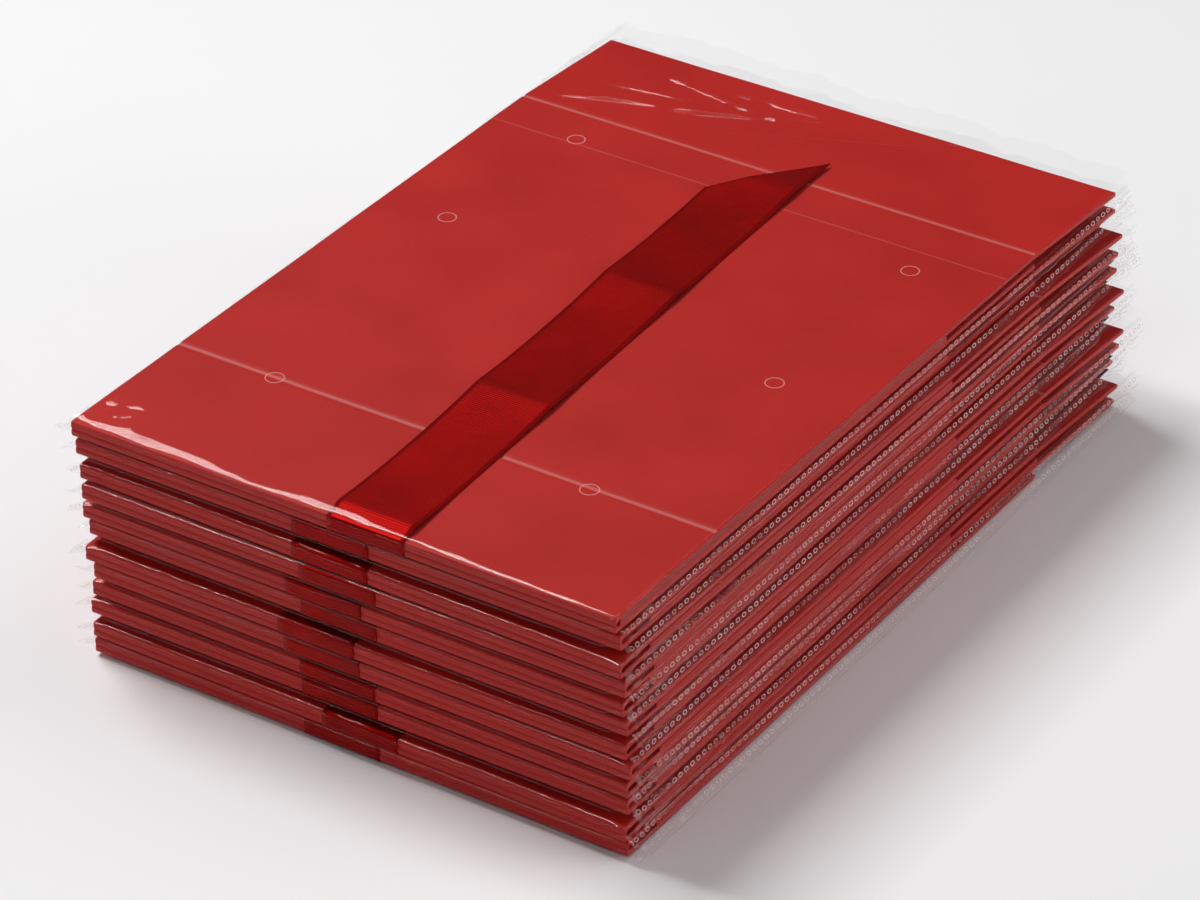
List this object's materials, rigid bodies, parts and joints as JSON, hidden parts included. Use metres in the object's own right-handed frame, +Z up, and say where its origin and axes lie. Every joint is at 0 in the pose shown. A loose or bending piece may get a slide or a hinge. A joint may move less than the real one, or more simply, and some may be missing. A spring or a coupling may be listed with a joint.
{
  "type": "stack of flat packed folding gift boxes",
  "caption": "Stack of flat-packed folding rigid gift boxes, each with a ribbon round its hinge edge, each in an open-ended clear film sleeve.",
  "frame": {"origin": "centre of the stack's underside", "axes": "+Z up; +Y from the hinge edges of the boxes towards their flaps and the open ends of the sleeves; +X to the right along the hinge edges, seen from the hinge edge"},
  "size_m": [0.2956, 0.4344, 0.1167],
  "materials": {
    "greyboard": "matte",
    "red_paper": "satin",
    "lining_paper": "satin",
    "ribbon": "satin",
    "film": "gloss",
    "magnet": "satin",
    "steel": "satin",
    "tape": "matte"
  },
  "bodies": {
    "film_01": {"sleeve_01": "film"},
    "box_01": {"boards_01": "greyboard", "papers_01": "red_paper", "ribbon_01": "ribbon"},
    "film_02": {"sleeve_02": "film"},
    "box_02": {"boards_02": "greyboard", "papers_02": "red_paper", "ribbon_02": "ribbon"},
    "film_03": {"sleeve_03": "film"},
    "box_03": {"boards_03": "greyboard", "papers_03": "red_paper", "ribbon_03": "ribbon"},
    "film_04": {"sleeve_04": "film"},
    "box_04": {"boards_04": "greyboard", "papers_04": "red_paper", "ribbon_04": "ribbon"},
    "film_05": {"sleeve_05": "film"},
    "box_05": {"boards_05": "greyboard", "papers_05": "red_paper", "ribbon_05": "ribbon"},
    "film_06": {"sleeve_06": "film"},
    "box_06": {"boards_06": "greyboard", "papers_06": "red_paper", "ribbon_06": "ribbon"},
    "film_07": {"sleeve_07": "film"},
    "box_07": {"boards_07": "greyboard", "papers_07": "red_paper", "ribbon_07": "ribbon"},
    "film_08": {"sleeve_08": "film"},
    "box_08": {"boards_08": "greyboard", "papers_08": "red_paper", "ribbon_08": "ribbon"},
    "film_09": {"sleeve_09": "film"},
    "box_09": {"boards_09": "greyboard", "papers_09": "red_paper", "ribbon_09": "ribbon"},
    "film_10": {"sleeve_10": "film"},
    "box_10": {"boards_10": "greyboard", "papers_10": "red_paper", "ribbon_10": "ribbon"},
    "film_11": {"sleeve_11": "film"},
    "box_11": {"boards_11": "greyboard", "papers_11": "red_paper", "ribbon_11": "ribbon"},
    "film_12": {"sleeve_12": "film"},
    "box_12": {"base_board": "greyboard", "front_wall_board": "greyboard", "left_wall_board": "greyboard", "right_wall_board": "greyboard", "spine_board": "greyboard", "lid_board": "greyboard", "flap_board": "greyboard", "cover_paper": "red_paper", "lower_lining": "lining_paper", "upper_lining": "lining_paper", "flap_magnets": "magnet", "wall_plates": "steel", "corner_tapes": "tape", "ribbon_12": "ribbon"}
  },
  "joints": [
    {"name": "draw_01", "type": "slide", "parent": "film_01", "child": "box_01", "axis": [-0.0009, 1, 0], "range_m": [0, 0.43]},
    {"name": "lift_02", "type": "slide", "parent": "film_01", "child": "film_02", "axis": [0, 0, 1], "range_m": [0, 0.06]},
    {"name": "draw_02", "type": "slide", "parent": "film_02", "child": "box_02", "axis": [0.0044, 1, 0], "range_m": [0, 0.43]},
    {"name": "lift_03", "type": "slide", "parent": "film_02", "child": "film_03", "axis": [0, 0, 1], "range_m": [0, 0.06]},
    {"name": "draw_03", "type": "slide", "parent": "film_03", "child": "box_03", "axis": [-0.005, 1, 0], "range_m": [0, 0.43]},
    {"name": "lift_04", "type": "slide", "parent": "film_03", "child": "film_04", "axis": [0, 0, 1], "range_m": [0, 0.06]},
    {"name": "draw_04", "type": "slide", "parent": "film_04", "child": "box_04", "axis": [0.0023, 1, 0], "range_m": [0, 0.43]},
    {"name": "lift_05", "type": "slide", "parent": "film_04", "child": "film_05", "axis": [0, 0, 1], "range_m": [0, 0.06]},
    {"name": "draw_05", "type": "slide", "parent": "film_05", "child": "box_05", "axis": [0.002, 1, 0], "range_m": [0, 0.43]},
    {"name": "lift_06", "type": "slide", "parent": "film_05", "child": "film_06", "axis": [0, 0, 1], "range_m": [0, 0.06]},
    {"name": "draw_06", "type": "slide", "parent": "film_06", "child": "box_06", "axis": [-0.0049, 1, 0], "range_m": [0, 0.43]},
    {"name": "lift_07", "type": "slide", "parent": "film_06", "child": "film_07", "axis": [0, 0, 1], "range_m": [0, 0.06]},
    {"name": "draw_07", "type": "slide", "parent": "film_07", "child": "box_07", "axis": [0.0046, 1, 0], "range_m": [0, 0.43]},
    {"name": "lift_08", "type": "slide", "parent": "film_07", "child": "film_08", "axis": [0, 0, 1], "range_m": [0, 0.06]},
    {"name": "draw_08", "type": "slide", "parent": "film_08", "child": "box_08", "axis": [-0.0012, 1, 0], "range_m": [0, 0.43]},
    {"name": "lift_09", "type": "slide", "parent": "film_08", "child": "film_09", "axis": [0, 0, 1], "range_m": [0, 0.06]},
    {"name": "draw_09", "type": "slide", "parent": "film_09", "child": "box_09", "axis": [-0.003, 1, 0], "range_m": [0, 0.43]},
    {"name": "lift_10", "type": "slide", "parent": "film_09", "child": "film_10", "axis": [0, 0, 1], "range_m": [0, 0.06]},
    {"name": "draw_10", "type": "slide", "parent": "film_10", "child": "box_10", "axis": [0.0052, 1, 0], "range_m": [0, 0.43]},
    {"name": "lift_11", "type": "slide", "parent": "film_10", "child": "film_11", "axis": [0, 0, 1], "range_m": [0, 0.06]},
    {"name": "draw_11", "type": "slide", "parent": "film_11", "child": "box_11", "axis": [-0.0039, 1, 0], "range_m": [0, 0.43]},
    {"name": "lift_12", "type": "slide", "parent": "film_11", "child": "film_12", "axis": [0, 0, 1], "range_m": [0, 0.06]},
    {"name": "draw_12", "type": "slide", "parent": "film_12", "child": "box_12", "axis": [0, 1, 0], "range_m": [0, 0.43]}
  ]
}
